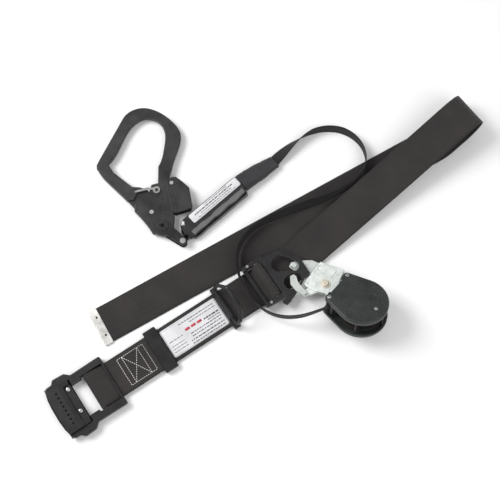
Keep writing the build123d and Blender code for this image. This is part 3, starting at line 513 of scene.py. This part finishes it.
# ---- lanyard: the free webbing from the reel to the absorber ------------------------------------
# (x, y, z, lean): lean 0 lies flat, 90 stands on its edge
LANYARD_ROUTE = [
    (95.0, -86.2, 33.0, 90), (79.0, -92.0, 30.0, 92), (60.5, -95.0, 20.5, 94), (40.0, -93.5, 13.0, 93),
    (20.0, -86.0, 11.5, 89), (3.0, -71.0, 13.5, 84), (-10.0, -51.0, 15.0, 79), (-17.5, -28.0, 14.0, 74),
    (-17.0, -3.0, 11.5, 74), (-6.0, 17.0, 11.0, 76), (10.0, 32.0, 10.5, 74), (36.0, 45.0, 10.5, 60),
    (66.0, 57.0, 10.5, 55), (93.0, 66.0, 11.0, 62), (115.0, 75.0, 11.5, 74), (136.0, 88.0, 11.5, 78),
    (152.0, 105.0, 11.0, 80), (158.0, 124.0, 9.5, 88), (154.0, 143.0, 8.5, 92), (143.0, 158.0, 8.2, 98),
    (126.0, 168.5, 8.0, 103), (106.0, 171.0, 8.0, 102), (86.0, 167.0, 8.0, 97), (66.0, 155.5, 7.2, 70),
    (47.6, 139.4, 6.4, 32), (32.8, 123.2, 5.8, 0),
]


def nurbs_points(name, points):
    """The points that Blender gives for the NURBS spline through these control points."""
    curve = bpy.data.curves.new(name, "CURVE")
    curve.dimensions = "3D"
    curve.resolution_u = CURVE_STEPS
    spline = curve.splines.new("NURBS")
    spline.points.add(len(points) - 1)
    for p, target in zip(points, spline.points):
        target.co = (*p, 1.0)
    spline.order_u = 3
    spline.use_endpoint_u = True
    obj = bpy.data.objects.new(name, curve)
    bpy.context.scene.collection.objects.link(obj)
    bpy.context.view_layer.update()
    mesh = bpy.data.meshes.new_from_object(obj.evaluated_get(bpy.context.evaluated_depsgraph_get()))
    line = np.array([tuple(v.co) for v in mesh.vertices], float)
    bpy.data.meshes.remove(mesh)
    bpy.data.objects.remove(obj)
    bpy.data.curves.remove(curve)
    return line


LANYARD_STEP = 0.0025
route = [spot(*p[:3]) for p in LANYARD_ROUTE]
line = nurbs_points("lanyard_route", route)
line, along = evenly(line, LANYARD_STEP)
route_run = np.concatenate([[0], np.cumsum([(b - a).length for a, b in zip(route, route[1:])])])
leans = np.interp(along / along[-1], route_run / route_run[-1], [p[3] for p in LANYARD_ROUTE])
tangents = np.gradient(line, axis=0)
across = []
for t, lean in zip(tangents, leans):
    t = Vector(t).normalized()
    side = Vector((0, 0, 1)).cross(t).normalized()
    rise = t.cross(side).normalized()
    a = math.radians(lean)
    across.append(side * math.cos(a) + rise * math.sin(a))
lanyard = sweep_ribbon("lanyard", line, across, along, LANYARD_WIDTH / 2, LANYARD_THICK, 6)
paint(lanyard, "lanyard")
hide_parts("lanyard_webbing")
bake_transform(lanyard)

# ---- belt: one strap from its sewn end round the buckle bar, over the ring bar, folded to its tip
BELT_STEP = 0.0035
BELT_LOWEST = BELT_THICK * 0.52        # of its middle line, so that the strap stays clear of the floor
BAR = (-106.0, 7.2)
RING_BAR = (153.0, 8.6)


def around(middle, r, start, stop, step):
    """Points on an arc, from start degrees to before stop."""
    return [(middle[0] + r * math.cos(math.radians(a)), middle[1] + r * math.sin(math.radians(a)))
            for a in range(start, stop, step)]


strip_path = [(-3.0, 5.6), (-22.0, 5.55), (-45.0, 5.55), (-64.0, 5.55), (-76.0, 5.7), (-92.0, 8.6)]
strip_path += around(BAR, 4.1, 75, 265, 18)
strip_path += [(-96.0, 3.35), (-84.0, 3.5), (-50.0, 3.5), (-10.0, 3.5), (30.0, 3.5), (75.0, 3.5),
               (110.0, 3.5), (134.0, 3.3), (143.5, 4.3)]
strip_path += around(RING_BAR, 6.25, 165, 14, -15)
strip_path += [(162.5, 4.8), (168.0, 2.2), (176.0, 1.4)]
rise_path = [(0.0, 2.2), (12.0, 3.4), (30.0, 4.7), (70.0, 8.5), (120.0, 14.0), (180.0, 21.0), (240.0, 30.0),
             (280.0, 37.0), (300.0, 38.8), (311.0, 36.0), (317.0, 29.0), (318.0, 20.0), (312.0, 10.0),
             (300.0, 4.0), (282.0, 1.6)]
tail_path = [(520.0, 1.0), (480.0, 1.0), (430.0, 1.0), (370.0, 1.0), (300.0, 1.0), (230.0, 1.0), (160.0, 1.0),
             (90.0, 1.0), (30.0, 1.0), (4.0, 1.3)]
belt_points = [STRIP(s, 0, z) for s, z in strip_path] + [RISE(b, 0, z) for b, z in rise_path]
belt_points += [TAIL(a, 0, z) for a, z in tail_path]
turns = [STRIP_TURN] * (len(strip_path) - 1) + [STRIP_TURN + 2.5]
turns += [RISE_TURN - 2.0] + [RISE_TURN] * (len(rise_path) - 7)
turns += [RISE_TURN - fall for fall in (0.6, 2.4, 4.4, 6.5, 8.8, 10.4)]
turns += [TAIL_TURN] * len(tail_path)
belt_line, belt_along = resample(belt_points, BELT_STEP, turns)
belt_line[:, 2] = np.maximum(belt_line[:, 2], BELT_LOWEST)
belt_across = [turn_axis(turn + 90.0) for turn in belt_line[:, 3]]
belt = sweep_ribbon("belt_strap", belt_line[:, :3], belt_across, belt_along, BELT_WIDTH / 2, BELT_THICK, 14)
paint(belt, "webbing")
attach(belt, "belt")
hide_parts("belt_strip", "belt_rise", "belt_tail")


# ---- stitching on the strip ---------------------------------------------------------------------
def strip_points(pairs, z):
    return [STRIP(s, t, z) for s, t in pairs]


SEAM_Z = 6.27              # low enough for the keeper to slide over the thread
STITCH_PITCH = 0.0030
STITCH_SHARE = 0.72
BELT_THREAD_R = 0.00042
LABEL_THREAD_R = 0.00028
left_s, right_s, half_t = -64.0, -26.0, 19.0
box_left, box_right = left_s + 7, right_s - 8
seam_runs = [
    [(left_s, -half_t), (right_s, -half_t), (right_s, half_t), (left_s, half_t), (left_s, -half_t)],
    [(box_left, -half_t), (box_left, half_t)],
    [(box_right, -half_t), (box_right, half_t)],
    [(box_left, -half_t), (box_right, half_t)],
    [(box_left, half_t), (box_right, -half_t)],
]
seams = []
for run in seam_runs:
    seams += stitch_line(strip_points(run, SEAM_Z), STITCH_PITCH, STITCH_SHARE)
stitches = paint(capsules("belt_stitching", seams, BELT_THREAD_R), "thread")
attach(stitches, "belt")


# ---- labels -------------------------------------------------------------------------------------
def sheet_patch(name, place, x0, x1, y0, y1, surface, thick, corner=2.0, cells=(28, 14)):
    """A thin label with rounded corners that follows surface(x, y), in millimetres."""
    nx, ny = cells
    verts, faces, uvs = [], [], []
    for i in range(nx + 1):
        for j in range(ny + 1):
            x = x0 + (x1 - x0) * i / nx
            y = y0 + (y1 - y0) * j / ny
            cx = min(max(x, x0 + corner), x1 - corner)
            cy = min(max(y, y0 + corner), y1 - corner)
            dx, dy = x - cx, y - cy
            reach = max(abs(dx), abs(dy))
            if dx and dy and reach:
                run = math.hypot(dx, dy)
                x = cx + dx * reach / run
                y = cy + dy * reach / run
            verts.append(place(x, y, surface(x, y) + thick))
            uvs.append((x * MM, y * MM))
    count = len(verts)
    for k in range(count):
        verts.append(verts[k] - place.z * thick * MM)
        uvs.append(uvs[k])
    step = ny + 1
    for i in range(nx):
        for j in range(ny):
            a, b, c, d = i * step + j, (i + 1) * step + j, (i + 1) * step + j + 1, i * step + j + 1
            faces.append((a, b, c, d))
            faces.append((a + count, d + count, c + count, b + count))
    rim = [i * step for i in range(nx + 1)] + [nx * step + j for j in range(1, ny + 1)]
    rim += [i * step + ny for i in range(nx - 1, -1, -1)] + [j for j in range(ny - 1, 0, -1)]
    for a, b in zip(rim, rim[1:] + rim[:1]):
        faces.append((a, a + count, b + count, b))
    return new_object(name, verts, faces, uvs)


PRINT_THICK = 0.00004
BAR_INSET = 0.12           # of a bar's height, at its two ends
WORD_GAP = 0.9
SHORTEST_WORD = 1.6


def marks(name, place, bars, surface, lift):
    """Generic printed marks: flat rounded bars (x, y, length, height) on a surface."""
    verts, faces = [], []
    for x, y, length, height in bars:
        base = len(verts)
        nx = max(1, int(length / 3))
        for i in range(nx + 1):
            px = x + length * i / nx
            inset = BAR_INSET * height if i in (0, nx) else 0.0
            for py in (y - height / 2 + inset, y + height / 2 - inset):
                verts.append(place(px, py, surface(px, py) + lift))
        for i in range(nx):
            a = base + 2 * i
            faces.append((a, a + 2, a + 3, a + 1))
    obj = new_object(name, verts, faces)
    solid = obj.modifiers.new("thick", "SOLIDIFY")
    solid.thickness = PRINT_THICK
    solid.offset = 1.0
    return obj


def word_bars(x0, x1, y, height, seed):
    """A row of bars of uneven length, like a line of small print with no letters in it."""
    out = []
    x = x0
    k = seed
    while x < x1 - 1.0:
        k = (k * 1103515245 + 12345) % 2147483648      # the same uneven lengths on each run
        length = min(SHORTEST_WORD + (k >> 8) % 40 / 10.0, x1 - x)
        out.append((x, y, length, height))
        x += length + WORD_GAP
    return out


def flat_top(z):
    return lambda x, y: z


INK_LIFT = 0.03
LABEL_BASE = 4.5
LABEL_THICK = 0.5
LABEL_TOP = LABEL_BASE + LABEL_THICK
belt_label = sheet_patch("belt_label_sheet", STRIP, 0.0, 84.0, -20.0, 20.0, flat_top(LABEL_BASE), LABEL_THICK)
paint(belt_label, "label")
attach(belt_label, "belt")
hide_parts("belt_label")
dark_bars = word_bars(26.0, 80.0, 14.5, 1.5, 3) + word_bars(40.0, 80.0, 10.5, 1.1, 5)
dark_bars += word_bars(58.0, 80.0, 3.0, 2.6, 31) + word_bars(62.0, 80.0, -0.5, 1.4, 43)
dark_bars += word_bars(4.0, 26.0, 0.5, 1.1, 47) + word_bars(4.0, 26.0, -14.0, 1.1, 53)
dark_bars += word_bars(34.0, 80.0, -4.0, 1.5, 7) + word_bars(34.0, 80.0, -8.0, 1.5, 11)
dark_bars += word_bars(30.0, 80.0, -12.5, 1.9, 13) + word_bars(30.0, 80.0, -16.5, 1.7, 17)
dark_bars += word_bars(4.0, 24.0, -6.0, 1.0, 19) + word_bars(4.0, 24.0, -10.0, 1.0, 23)
label_ink = paint(marks("belt_label_print", STRIP, dark_bars, flat_top(LABEL_TOP), INK_LIFT), "ink_dark")
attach(label_ink, "belt")
red_bars = [(30.0, 4.0, 7.0, 3.6), (39.0, 4.0, 7.0, 3.6), (48.0, 4.0, 7.0, 3.6)]
label_red = paint(marks("belt_label_red", STRIP, red_bars, flat_top(LABEL_TOP), INK_LIFT), "ink_red")
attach(label_red, "belt")
label_rim = [(1.6, -18.4), (82.4, -18.4), (82.4, 18.4), (1.6, 18.4), (1.6, -18.4)]
edge_seam = stitch_line(strip_points(label_rim, LABEL_TOP + 0.12), 0.0026, 0.66)
label_seam = paint(capsules("belt_label_stitching", edge_seam, LABEL_THREAD_R), "thread")
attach(label_seam, "belt")

# ---- absorber: film cover, label, sleeve, webbing loop ------------------------------------------
COVER_SECTION = [(-14.0, 0.3), (15.0, 0.3), (17.0, 4.0), (16.5, 14.5), (13.5, 17.0), (1.0, 17.2),
                 (-9.0, 14.0), (-15.5, 6.0)]


FLOOR_GAP = 0.0002


def chaikin(points, rounds):
    """The closed outline with its corners cut that many times."""
    for _ in range(rounds):
        cut = []
        for p, q in zip(points, points[1:] + points[:1]):
            cut.append((p[0] * 0.75 + q[0] * 0.25, p[1] * 0.75 + q[1] * 0.25))
            cut.append((p[0] * 0.25 + q[0] * 0.75, p[1] * 0.25 + q[1] * 0.75))
        points = cut
    return points


def grown_corners(section, inset):
    """The section with each corner doubled close by, so that rounding keeps its size."""
    out = []
    count = len(section)
    for i, p in enumerate(section):
        before, after = section[i - 1], section[(i + 1) % count]
        for other in (before, after):
            run = math.hypot(other[0] - p[0], other[1] - p[1])
            share = min(inset / run, 0.45)
            out.append((p[0] + (other[0] - p[0]) * share, p[1] + (other[1] - p[1]) * share))
    return out


def loft(name, place, stations, ripple, ripple_below=100.0):
    """A closed skin over (x, section) stations, whose sections have the same count of (y, z) points.

    The ripple, in millimetres, is a fifth as strong above the height ripple_below.
    """
    count = len(stations[0][1])
    verts, faces, uvs = [], [], []
    for x, section in stations:
        run = 0.0
        last = section[0]
        for y, z in section:
            run += math.hypot(y - last[0], z - last[1])
            last = (y, z)
            p = place(x, y, z)
            wobble = noise.noise(Vector((x * 0.085, y * 0.12, z * 0.12))) * ripple
            cy = sum(s[0] for s in section) / count
            cz = sum(s[1] for s in section) / count
            out = Vector((0, y - cy, z - cz))
            if out.length > 0:
                out.normalize()
            p = p + place.turned(out) * wobble * MM * (0.2 if z > ripple_below else 1.0)
            p.z = max(p.z, FLOOR_GAP)
            verts.append(p)
            uvs.append((x * MM, run * MM))
    for i in range(len(stations) - 1):
        for k in range(count):
            m = (k + 1) % count
            faces.append((i * count + k, i * count + m, (i + 1) * count + m, (i + 1) * count + k))
    faces.append(tuple(reversed(range(count))))
    faces.append(tuple(range((len(stations) - 1) * count, len(stations) * count)))
    return new_object(name, verts, faces, uvs)


cover_ring = chaikin(grown_corners(COVER_SECTION, 2.6), 2)
middle_y = sum(p[0] for p in cover_ring) / len(cover_ring)
middle_z = sum(p[1] for p in cover_ring) / len(cover_ring)


def shrunk(ring, share):
    return [(middle_y + (y - middle_y) * share, max(middle_z + (z - middle_z) * share, 0.3)) for y, z in ring]


HOOD_STEPS = 8
PACK_STEPS = 56
PACK_START, PACK_END = 1.0, 98.0
stations = []
for i in range(HOOD_STEPS + 1):        # the hood that narrows towards the shackle pin
    part = i / HOOD_STEPS
    x = -6.4 + 6.6 * part
    share = 0.36 + 0.44 * (0.5 - 0.5 * math.cos(math.pi * part))
    drop = (1.0 - part) * 0.8
    stations.append((x, [(y - 4.2 * drop, z - 1.6 * drop) for y, z in shrunk(cover_ring, share)]))
for i in range(PACK_STEPS + 1):        # the pack itself, drawn in a little at both ends
    x = PACK_START + (PACK_END - PACK_START) * i / PACK_STEPS
    near_end = min(x - PACK_START, PACK_END - x)
    share = 1.0 - 0.16 * max(0.0, 1.0 - near_end / 5.0) ** 2
    share -= 0.006 * (1.0 + noise.noise(Vector((x * 0.11, 3.0, 0.0))))
    stations.append((x, shrunk(cover_ring, share)))
cover = loft("absorber_film", ABSORBER, stations, ripple=0.5, ripple_below=15.0)
soften = cover.modifiers.new("soft", "SUBSURF")
soften.levels = 1
soften.render_levels = 1
paint(cover, "film")
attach(cover, "belt")
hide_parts("absorber_cover", "absorber_pack")


def label_base(x, y):
    """Height of the label's underside, just above the film, in millimetres."""
    return 17.2 - 0.006 * (y - 7.0) ** 2


PACK_LABEL_THICK = 0.35
pack_label = sheet_patch("absorber_label_sheet", ABSORBER, 14.0, 96.5, 0.5, 13.8,
                         label_base, PACK_LABEL_THICK, 2.4, (40, 10))
paint(pack_label, "label")
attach(pack_label, "belt")
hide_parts("absorber_label")
pack_bars = word_bars(40.0, 80.0, 12.0, 1.3, 29) + word_bars(22.0, 88.0, 8.8, 2.2, 31)
pack_bars += word_bars(30.0, 84.0, 5.6, 1.3, 37) + word_bars(24.0, 90.0, 2.8, 1.0, 41)
pack_ink = paint(marks("absorber_label_print", ABSORBER, pack_bars,
                       lambda x, y: label_base(x, y) + PACK_LABEL_THICK, INK_LIFT), "ink_dark")
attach(pack_ink, "belt")


def rounded(width, height, y, z, r):
    """A rounded rectangle as (y, z) points, with its middle at y, z."""
    out = []
    for cx, cz, start in ((1, 1, 0), (-1, 1, 90), (-1, -1, 180), (1, -1, 270)):
        for k in range(7):
            a = math.radians(start + 15 * k)
            out.append((y + cx * (width / 2 - r) + r * math.cos(a),
                        z + cz * (height / 2 - r) + r * math.sin(a)))
    return out


# x, then the section's width, height, middle in y and in z, and corner radius
sleeve_keys = [(98.2, 25.0, 14.4, 3.5, 7.6, 5.0), (112.0, 25.0, 13.4, 2.3, 7.1, 4.8),
               (128.0, 24.0, 12.0, 0.5, 6.5, 4.5), (142.0, 21.0, 10.2, -1.2, 6.0, 4.2),
               (154.0, 19.0, 8.8, -3.0, 5.6, 4.0)]
SLEEVE_STEPS = 44
sleeve_start, sleeve_end = sleeve_keys[0][0], sleeve_keys[-1][0]
sleeve_stations = []
for i in range(SLEEVE_STEPS + 1):
    x = sleeve_start + (sleeve_end - sleeve_start) * i / SLEEVE_STEPS
    wide, tall, mid_y, mid_z, corner = [np.interp(x, [k[0] for k in sleeve_keys], [k[c] for k in sleeve_keys])
                                        for c in range(1, 6)]
    crease = 0.35 * math.sin(x * 0.9) * math.sin(x * 0.23 + 1.0)
    sleeve_stations.append((x, rounded(wide - 0.6 + crease * 0.6, tall - 0.5 + crease, mid_y, mid_z, corner)))
sleeve = loft("absorber_sleeve_cloth", ABSORBER, sleeve_stations, ripple=0.5)
paint(sleeve, "sleeve_fabric")
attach(sleeve, "belt")
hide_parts("absorber_sleeve")

LOOP_R = 3.4
LOOP_HALF = 0.0038
loop_line = [(2.5, 0.8), (-4.5, -0.9), (-10.8, -2.9)]
loop_line += around(SHACKLE_PIN, LOOP_R, 80, 300, 22) + [(-8.0, -8.3), (-2.0, -7.0), (2.5, -5.6)]
loop_pts, loop_along = resample([ABSORBER(x, y, 7.2) for x, y in loop_line], 0.0012)
loop = sweep_ribbon("absorber_loop_webbing", loop_pts[:, :3], [Vector((0, 0, 1))] * len(loop_pts), loop_along,
                    LOOP_HALF, LANYARD_THICK, 4)
paint(loop, "lanyard")
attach(loop, "belt")
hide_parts("absorber_loop")

# ---- webbing inside the reel --------------------------------------------------------------------
ROLL_TURNS = 7
ROLL_STEPS = 30
ROLL_INNER_R = 8.7
ROLL_GROWTH = 8.0
REEL_MIDDLE_Z = 2.0
REEL_HALF = 0.0074         # half the width of the webbing inside, in metres
ROLL_THICK = 0.00105
LEAD_THICK = 0.0011
roll = []
for i in range(ROLL_TURNS * ROLL_STEPS + 1):
    a = 2 * math.pi * i / ROLL_STEPS
    r = ROLL_INNER_R + ROLL_GROWTH * i / (ROLL_TURNS * ROLL_STEPS)
    roll.append(REEL(r * math.cos(a), r * math.sin(a), REEL_MIDDLE_Z))
roll_pts, roll_along = evenly(np.array([tuple(p) for p in roll]), 0.0025)
roll_cloth = sweep_ribbon("wound_roll", roll_pts, [REEL.z] * len(roll_pts), roll_along,
                          REEL_HALF, ROLL_THICK, 4)
paint(roll_cloth, "lanyard")
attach(roll_cloth, "spool")
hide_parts("wound_webbing")
EXIT_TURN = math.atan2(0.903, 0.43)
EXIT_OFFSET = 17.9
ca, sa = math.cos(EXIT_TURN), math.sin(EXIT_TURN)
lead = []
for x in np.linspace(4.0, 40.5, 14):
    lead.append(REEL(x * ca + EXIT_OFFSET * sa, x * sa - EXIT_OFFSET * ca, REEL_MIDDLE_Z))
lead_pts, lead_along = resample(lead, 0.002)
lead_cloth = sweep_ribbon("webbing_lead_strap", lead_pts[:, :3], [REEL.z] * len(lead_pts), lead_along,
                          REEL_HALF, LEAD_THICK, 4)
paint(lead_cloth, "lanyard")
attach(lead_cloth, "reel")
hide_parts("webbing_lead")

# ---- floor and light ----------------------------------------------------------------------------
FLOOR_HALF = 3
WORLD_STRENGTH = 0.52
floor_corners = [(x * FLOOR_HALF, y * FLOOR_HALF, 0) for x, y in ((-1, -1), (1, -1), (1, 1), (-1, 1))]
floor = new_object("floor", floor_corners, [(0, 1, 2, 3)], smooth=False)
floor_paint = Nodes("floor_paint")
floor_here = place_coords(floor_paint)
floor_paint.link(floor_paint.mix(floor_paint.noise(floor_here, 3.0), (0.86, 0.86, 0.86), (0.90, 0.90, 0.90)),
                 floor_paint.shader.inputs["Base Color"])
floor_paint.shader.inputs["Roughness"].default_value = 0.9
floor.data.materials.append(floor_paint.material)

world = bpy.data.worlds.new("studio")
bpy.context.scene.world = world
world.use_nodes = True
world.node_tree.nodes["Background"].inputs["Color"].default_value = (1.0, 1.0, 1.0, 1.0)
world.node_tree.nodes["Background"].inputs["Strength"].default_value = WORLD_STRENGTH
bpy.context.scene.view_settings.view_transform = "Standard"


def area_light(name, at, towards, size, watts):
    data = bpy.data.lights.new(name, "AREA")
    data.shape = "RECTANGLE"
    data.size, data.size_y = size
    data.energy = watts
    obj = bpy.data.objects.new(name, data)
    bpy.context.scene.collection.objects.link(obj)
    obj.location = at
    obj.rotation_mode = "QUATERNION"
    obj.rotation_quaternion = (Vector(towards) - Vector(at)).to_track_quat("-Z", "Y")


area_light("key", (-1.2, 0.45, 1.25), (0, 0, 0), (0.9, 0.9), 27.0)
area_light("fill", (0.9, -0.6, 1.2), (0, 0, 0), (1.2, 1.2), 9.0)
